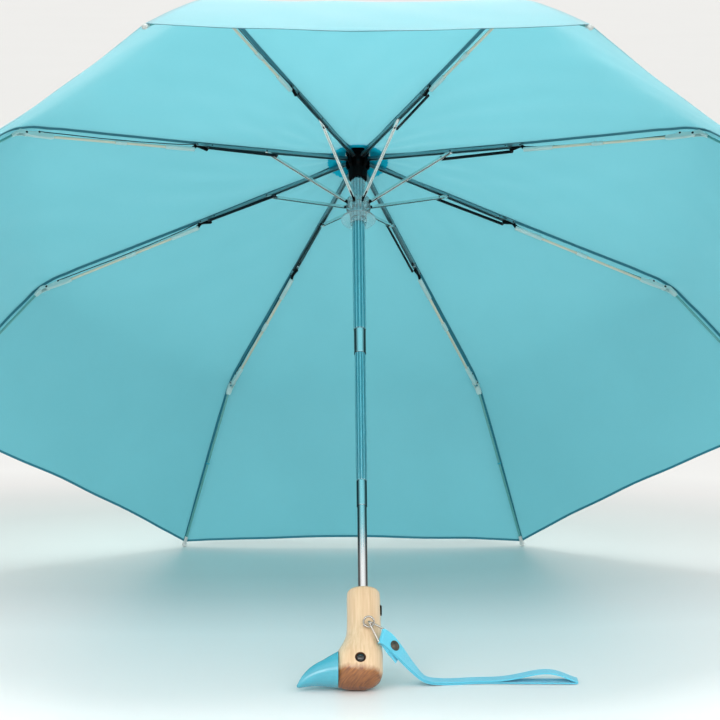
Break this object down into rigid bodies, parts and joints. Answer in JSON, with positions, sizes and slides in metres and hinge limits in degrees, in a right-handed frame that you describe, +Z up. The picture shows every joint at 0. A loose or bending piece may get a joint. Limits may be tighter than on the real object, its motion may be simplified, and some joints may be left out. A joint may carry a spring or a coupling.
{
  "type": "compact folding umbrella",
  "caption": "Compact folding umbrella resting open on its bird-head wooden handle and rib tips, with a telescoping shaft, folding ribs and a wrist strap.",
  "frame": {"origin": "centre of the bounding box on the floor that the handle and two rib tips rest on", "axes": "+Z up; the shaft leans from the handle in front (-Y) up and back to the crown (+Y); +X is to the right of a viewer who looks under the canopy along +Y, and the beak points along -X"},
  "size_m": [0.8922, 0.6724, 0.6063],
  "materials": {
    "canopy_fabric": "thin woven polyester, satin",
    "maple": "satin lacquer",
    "beak_paint": "glossy paint on wood",
    "strap_webbing": "woven webbing",
    "black_plastic": "satin",
    "eye": "glossy",
    "tube_chrome": "polished",
    "clear_collar": "satin",
    "chrome": "polished",
    "spring_steel": "satin",
    "rib_aluminium": "satin",
    "strut_steel": "plated",
    "black_steel": "satin",
    "fibreglass": "satin"
  },
  "bodies": {
    "handle": {"handle": "maple", "beak": "beak_paint", "eye_near": "eye", "eye_far": "eye", "screw_eye": "chrome", "lower_tube": "tube_chrome"},
    "middle_tube": {"middle_tube": "tube_chrome", "middle_collar": "clear_collar"},
    "top_tube": {"top_tube": "tube_chrome", "top_collar": "clear_collar", "crown": "black_plastic", "top_cap": "black_plastic", "canopy": "canopy_fabric", "runner_catch": "spring_steel", "opening_spring": "spring_steel"},
    "runner": {"runner": "black_plastic"},
    "release_button": {"release_button": "black_plastic"},
    "wrist_strap": {"strap_ring": "chrome", "wrist_strap": "strap_webbing"},
    "inner_rib_1": {"inner_rib_1": "rib_aluminium"},
    "strut_1": {"strut_1": "strut_steel"},
    "middle_rib_1": {"middle_rib_1": "fibreglass"},
    "link_1": {"link_1": "black_steel"},
    "tail_rib_1": {"tail_rib_1": "fibreglass"},
    "inner_rib_2": {"inner_rib_2": "rib_aluminium"},
    "strut_2": {"strut_2": "strut_steel"},
    "middle_rib_2": {"middle_rib_2": "fibreglass"},
    "link_2": {"link_2": "black_steel"},
    "tail_rib_2": {"tail_rib_2": "fibreglass"},
    "inner_rib_3": {"inner_rib_3": "rib_aluminium"},
    "strut_3": {"strut_3": "strut_steel"},
    "middle_rib_3": {"middle_rib_3": "fibreglass"},
    "link_3": {"link_3": "black_steel"},
    "tail_rib_3": {"tail_rib_3": "fibreglass"},
    "inner_rib_4": {"inner_rib_4": "rib_aluminium"},
    "strut_4": {"strut_4": "strut_steel"},
    "middle_rib_4": {"middle_rib_4": "fibreglass"},
    "link_4": {"link_4": "black_steel"},
    "tail_rib_4": {"tail_rib_4": "fibreglass"},
    "inner_rib_5": {"inner_rib_5": "rib_aluminium"},
    "strut_5": {"strut_5": "strut_steel"},
    "middle_rib_5": {"middle_rib_5": "fibreglass"},
    "link_5": {"link_5": "black_steel"},
    "tail_rib_5": {"tail_rib_5": "fibreglass"},
    "inner_rib_6": {"inner_rib_6": "rib_aluminium"},
    "strut_6": {"strut_6": "strut_steel"},
    "middle_rib_6": {"middle_rib_6": "fibreglass"},
    "link_6": {"link_6": "black_steel"},
    "tail_rib_6": {"tail_rib_6": "fibreglass"},
    "inner_rib_7": {"inner_rib_7": "rib_aluminium"},
    "strut_7": {"strut_7": "strut_steel"},
    "middle_rib_7": {"middle_rib_7": "fibreglass"},
    "link_7": {"link_7": "black_steel"},
    "tail_rib_7": {"tail_rib_7": "fibreglass"},
    "inner_rib_8": {"inner_rib_8": "rib_aluminium"},
    "strut_8": {"strut_8": "strut_steel"},
    "middle_rib_8": {"middle_rib_8": "fibreglass"},
    "link_8": {"link_8": "black_steel"},
    "tail_rib_8": {"tail_rib_8": "fibreglass"}
  },
  "joints": [
    {"name": "lower_telescope", "type": "slide", "parent": "handle", "child": "middle_tube", "axis": [0, -0.6594, -0.7518], "range_m": [0, 0.082]},
    {"name": "upper_telescope", "type": "slide", "parent": "middle_tube", "child": "top_tube", "axis": [0, -0.6594, -0.7518], "range_m": [0, 0.137], "deforming": ["opening_spring"]},
    {"name": "fold", "type": "slide", "parent": "top_tube", "child": "runner", "axis": [0, -0.6594, -0.7518], "range_m": [0, 0.13089], "deforming": ["canopy", "runner_catch"]},
    {"name": "button_press", "type": "slide", "parent": "handle", "child": "release_button", "axis": [-1, 0, 0], "range_m": [0, 0.0025], "stiffness_N_per_m": 800, "springref_m": -0.001},
    {"name": "strap_swing", "type": "hinge", "parent": "handle", "child": "wrist_strap", "pos_m": [0.0044, -0.23387, 0.05903], "axis": [0, 0, 1], "range_deg": [-4, 20]},
    {"name": "inner_rib_1_hinge", "type": "hinge", "parent": "top_tube", "child": "inner_rib_1", "pos_m": [0.00375, 0.13172, 0.43178], "axis": [-0.9239, 0.2877, -0.2523], "range_deg": [0, 78.2]},
    {"name": "strut_1_hinge", "type": "hinge", "parent": "inner_rib_1", "child": "strut_1", "pos_m": [0.03731, 0.18189, 0.36609], "axis": [-0.9239, 0.2877, -0.2523], "range_deg": [-143.63, 0]},
    {"name": "middle_rib_1_hinge", "type": "hinge", "parent": "inner_rib_1", "child": "middle_rib_1", "pos_m": [0.0649, 0.22353, 0.31255], "axis": [-0.9239, 0.2877, -0.2523], "range_deg": [-179.81, 0]},
    {"name": "link_1_hinge", "type": "hinge", "parent": "middle_rib_1", "child": "link_1", "pos_m": [0.06098, 0.21497, 0.31715], "axis": [-0.9239, 0.2877, -0.2523], "range_deg": [0, 177.68]},
    {"name": "tail_rib_1_hinge", "type": "hinge", "parent": "middle_rib_1", "child": "tail_rib_1", "pos_m": [0.13007, 0.31873, 0.18248], "axis": [-0.9239, 0.2877, -0.2523], "range_deg": [0, 146.3]},
    {"name": "inner_rib_2_hinge", "type": "hinge", "parent": "top_tube", "child": "inner_rib_2", "pos_m": [0.00905, 0.12774, 0.43527], "axis": [-0.3827, 0.6946, -0.6092], "range_deg": [0, 78.2]},
    {"name": "strut_2_hinge", "type": "hinge", "parent": "inner_rib_2", "child": "strut_2", "pos_m": [0.09008, 0.14222, 0.40089], "axis": [-0.3827, 0.6946, -0.6092], "range_deg": [-143.63, 0]},
    {"name": "middle_rib_2_hinge", "type": "hinge", "parent": "inner_rib_2", "child": "middle_rib_2", "pos_m": [0.15669, 0.15452, 0.37307], "axis": [-0.3827, 0.6946, -0.6092], "range_deg": [-179.81, 0]},
    {"name": "link_2_hinge", "type": "hinge", "parent": "middle_rib_2", "child": "link_2", "pos_m": [0.14722, 0.15013, 0.37402], "axis": [-0.3827, 0.6946, -0.6092], "range_deg": [0, 177.68]},
    {"name": "tail_rib_2_hinge", "type": "hinge", "parent": "middle_rib_2", "child": "tail_rib_2", "pos_m": [0.31403, 0.18044, 0.30378], "axis": [-0.3827, 0.6946, -0.6092], "range_deg": [0, 146.3]},
    {"name": "inner_rib_3_hinge", "type": "hinge", "parent": "top_tube", "child": "inner_rib_3", "pos_m": [0.00905, 0.1221, 0.44022], "axis": [0.3827, 0.6946, -0.6092], "range_deg": [0, 78.2]},
    {"name": "strut_3_hinge", "type": "hinge", "parent": "inner_rib_3", "child": "strut_3", "pos_m": [0.09008, 0.08612, 0.4501], "axis": [0.3827, 0.6946, -0.6092], "range_deg": [-143.63, 0]},
    {"name": "middle_rib_3_hinge", "type": "hinge", "parent": "inner_rib_3", "child": "middle_rib_3", "pos_m": [0.15669, 0.05694, 0.45867], "axis": [0.3827, 0.6946, -0.6092], "range_deg": [-179.81, 0]},
    {"name": "link_3_hinge", "type": "hinge", "parent": "middle_rib_3", "child": "link_3", "pos_m": [0.14722, 0.05845, 0.45444], "axis": [0.3827, 0.6946, -0.6092], "range_deg": [0, 177.68]},
    {"name": "tail_rib_3_hinge", "type": "hinge", "parent": "middle_rib_3", "child": "tail_rib_3", "pos_m": [0.31403, -0.01514, 0.47533], "axis": [0.3827, 0.6946, -0.6092], "range_deg": [0, 146.3]},
    {"name": "inner_rib_4_hinge", "type": "hinge", "parent": "top_tube", "child": "inner_rib_4", "pos_m": [0.00375, 0.11811, 0.44372], "axis": [0.9239, 0.2877, -0.2523], "range_deg": [0, 78.2]},
    {"name": "strut_4_hinge", "type": "hinge", "parent": "inner_rib_4", "child": "strut_4", "pos_m": [0.03731, 0.04645, 0.48489], "axis": [0.9239, 0.2877, -0.2523], "range_deg": [-143.63, 0]},
    {"name": "middle_rib_4_hinge", "type": "hinge", "parent": "inner_rib_4", "child": "middle_rib_4", "pos_m": [0.0649, -0.01207, 0.51919], "axis": [0.9239, 0.2877, -0.2523], "range_deg": [-179.81, 0]},
    {"name": "link_4_hinge", "type": "hinge", "parent": "middle_rib_4", "child": "link_4", "pos_m": [0.06098, -0.00639, 0.51131], "axis": [0.9239, 0.2877, -0.2523], "range_deg": [0, 177.68]},
    {"name": "tail_rib_4_hinge", "type": "hinge", "parent": "middle_rib_4", "child": "tail_rib_4", "pos_m": [0.13007, -0.15343, 0.59663], "axis": [0.9239, 0.2877, -0.2523], "range_deg": [0, 146.3]},
    {"name": "inner_rib_5_hinge", "type": "hinge", "parent": "top_tube", "child": "inner_rib_5", "pos_m": [-0.00375, 0.11811, 0.44372], "axis": [0.9239, -0.2877, 0.2523], "range_deg": [0, 78.2]},
    {"name": "strut_5_hinge", "type": "hinge", "parent": "inner_rib_5", "child": "strut_5", "pos_m": [-0.03731, 0.04645, 0.48489], "axis": [0.9239, -0.2877, 0.2523], "range_deg": [-143.63, 0]},
    {"name": "middle_rib_5_hinge", "type": "hinge", "parent": "inner_rib_5", "child": "middle_rib_5", "pos_m": [-0.0649, -0.01207, 0.51919], "axis": [0.9239, -0.2877, 0.2523], "range_deg": [-179.81, 0]},
    {"name": "link_5_hinge", "type": "hinge", "parent": "middle_rib_5", "child": "link_5", "pos_m": [-0.06098, -0.00639, 0.51131], "axis": [0.9239, -0.2877, 0.2523], "range_deg": [0, 177.68]},
    {"name": "tail_rib_5_hinge", "type": "hinge", "parent": "middle_rib_5", "child": "tail_rib_5", "pos_m": [-0.13007, -0.15343, 0.59663], "axis": [0.9239, -0.2877, 0.2523], "range_deg": [0, 146.3]},
    {"name": "inner_rib_6_hinge", "type": "hinge", "parent": "top_tube", "child": "inner_rib_6", "pos_m": [-0.00905, 0.1221, 0.44022], "axis": [0.3827, -0.6946, 0.6092], "range_deg": [0, 78.2]},
    {"name": "strut_6_hinge", "type": "hinge", "parent": "inner_rib_6", "child": "strut_6", "pos_m": [-0.09008, 0.08612, 0.4501], "axis": [0.3827, -0.6946, 0.6092], "range_deg": [-143.63, 0]},
    {"name": "middle_rib_6_hinge", "type": "hinge", "parent": "inner_rib_6", "child": "middle_rib_6", "pos_m": [-0.15669, 0.05694, 0.45867], "axis": [0.3827, -0.6946, 0.6092], "range_deg": [-179.81, 0]},
    {"name": "link_6_hinge", "type": "hinge", "parent": "middle_rib_6", "child": "link_6", "pos_m": [-0.14722, 0.05845, 0.45444], "axis": [0.3827, -0.6946, 0.6092], "range_deg": [0, 177.68]},
    {"name": "tail_rib_6_hinge", "type": "hinge", "parent": "middle_rib_6", "child": "tail_rib_6", "pos_m": [-0.31403, -0.01514, 0.47533], "axis": [0.3827, -0.6946, 0.6092], "range_deg": [0, 146.3]},
    {"name": "inner_rib_7_hinge", "type": "hinge", "parent": "top_tube", "child": "inner_rib_7", "pos_m": [-0.00905, 0.12774, 0.43527], "axis": [-0.3827, -0.6946, 0.6092], "range_deg": [0, 78.2]},
    {"name": "strut_7_hinge", "type": "hinge", "parent": "inner_rib_7", "child": "strut_7", "pos_m": [-0.09008, 0.14222, 0.40089], "axis": [-0.3827, -0.6946, 0.6092], "range_deg": [-143.63, 0]},
    {"name": "middle_rib_7_hinge", "type": "hinge", "parent": "inner_rib_7", "child": "middle_rib_7", "pos_m": [-0.15669, 0.15452, 0.37307], "axis": [-0.3827, -0.6946, 0.6092], "range_deg": [-179.81, 0]},
    {"name": "link_7_hinge", "type": "hinge", "parent": "middle_rib_7", "child": "link_7", "pos_m": [-0.14722, 0.15013, 0.37402], "axis": [-0.3827, -0.6946, 0.6092], "range_deg": [0, 177.68]},
    {"name": "tail_rib_7_hinge", "type": "hinge", "parent": "middle_rib_7", "child": "tail_rib_7", "pos_m": [-0.31403, 0.18044, 0.30378], "axis": [-0.3827, -0.6946, 0.6092], "range_deg": [0, 146.3]},
    {"name": "inner_rib_8_hinge", "type": "hinge", "parent": "top_tube", "child": "inner_rib_8", "pos_m": [-0.00375, 0.13172, 0.43178], "axis": [-0.9239, -0.2877, 0.2523], "range_deg": [0, 78.2]},
    {"name": "strut_8_hinge", "type": "hinge", "parent": "inner_rib_8", "child": "strut_8", "pos_m": [-0.03731, 0.18189, 0.36609], "axis": [-0.9239, -0.2877, 0.2523], "range_deg": [-143.63, 0]},
    {"name": "middle_rib_8_hinge", "type": "hinge", "parent": "inner_rib_8", "child": "middle_rib_8", "pos_m": [-0.0649, 0.22353, 0.31255], "axis": [-0.9239, -0.2877, 0.2523], "range_deg": [-179.81, 0]},
    {"name": "link_8_hinge", "type": "hinge", "parent": "middle_rib_8", "child": "link_8", "pos_m": [-0.06098, 0.21497, 0.31715], "axis": [-0.9239, -0.2877, 0.2523], "range_deg": [0, 177.68]},
    {"name": "tail_rib_8_hinge", "type": "hinge", "parent": "middle_rib_8", "child": "tail_rib_8", "pos_m": [-0.13007, 0.31873, 0.18248], "axis": [-0.9239, -0.2877, 0.2523], "range_deg": [0, 146.3]}
  ],
  "couplings": [
    {"joint": "inner_rib_1_hinge", "follows": "fold", "rad_per_m": 10.425},
    {"joint": "strut_1_hinge", "follows": "fold", "rad_per_m": -19.149},
    {"joint": "middle_rib_1_hinge", "follows": "fold", "rad_per_m": -23.975},
    {"joint": "link_1_hinge", "follows": "fold", "rad_per_m": 23.691},
    {"joint": "tail_rib_1_hinge", "follows": "fold", "rad_per_m": 19.505},
    {"joint": "inner_rib_2_hinge", "follows": "fold", "rad_per_m": 10.425},
    {"joint": "strut_2_hinge", "follows": "fold", "rad_per_m": -19.149},
    {"joint": "middle_rib_2_hinge", "follows": "fold", "rad_per_m": -23.975},
    {"joint": "link_2_hinge", "follows": "fold", "rad_per_m": 23.691},
    {"joint": "tail_rib_2_hinge", "follows": "fold", "rad_per_m": 19.505},
    {"joint": "inner_rib_3_hinge", "follows": "fold", "rad_per_m": 10.425},
    {"joint": "strut_3_hinge", "follows": "fold", "rad_per_m": -19.149},
    {"joint": "middle_rib_3_hinge", "follows": "fold", "rad_per_m": -23.975},
    {"joint": "link_3_hinge", "follows": "fold", "rad_per_m": 23.691},
    {"joint": "tail_rib_3_hinge", "follows": "fold", "rad_per_m": 19.505},
    {"joint": "inner_rib_4_hinge", "follows": "fold", "rad_per_m": 10.425},
    {"joint": "strut_4_hinge", "follows": "fold", "rad_per_m": -19.149},
    {"joint": "middle_rib_4_hinge", "follows": "fold", "rad_per_m": -23.975},
    {"joint": "link_4_hinge", "follows": "fold", "rad_per_m": 23.691},
    {"joint": "tail_rib_4_hinge", "follows": "fold", "rad_per_m": 19.505},
    {"joint": "inner_rib_5_hinge", "follows": "fold", "rad_per_m": 10.425},
    {"joint": "strut_5_hinge", "follows": "fold", "rad_per_m": -19.149},
    {"joint": "middle_rib_5_hinge", "follows": "fold", "rad_per_m": -23.975},
    {"joint": "link_5_hinge", "follows": "fold", "rad_per_m": 23.691},
    {"joint": "tail_rib_5_hinge", "follows": "fold", "rad_per_m": 19.505},
    {"joint": "inner_rib_6_hinge", "follows": "fold", "rad_per_m": 10.425},
    {"joint": "strut_6_hinge", "follows": "fold", "rad_per_m": -19.149},
    {"joint": "middle_rib_6_hinge", "follows": "fold", "rad_per_m": -23.975},
    {"joint": "link_6_hinge", "follows": "fold", "rad_per_m": 23.691},
    {"joint": "tail_rib_6_hinge", "follows": "fold", "rad_per_m": 19.505},
    {"joint": "inner_rib_7_hinge", "follows": "fold", "rad_per_m": 10.425},
    {"joint": "strut_7_hinge", "follows": "fold", "rad_per_m": -19.149},
    {"joint": "middle_rib_7_hinge", "follows": "fold", "rad_per_m": -23.975},
    {"joint": "link_7_hinge", "follows": "fold", "rad_per_m": 23.691},
    {"joint": "tail_rib_7_hinge", "follows": "fold", "rad_per_m": 19.505},
    {"joint": "inner_rib_8_hinge", "follows": "fold", "rad_per_m": 10.425},
    {"joint": "strut_8_hinge", "follows": "fold", "rad_per_m": -19.149},
    {"joint": "middle_rib_8_hinge", "follows": "fold", "rad_per_m": -23.975},
    {"joint": "link_8_hinge", "follows": "fold", "rad_per_m": 23.691},
    {"joint": "tail_rib_8_hinge", "follows": "fold", "rad_per_m": 19.505}
  ]
}
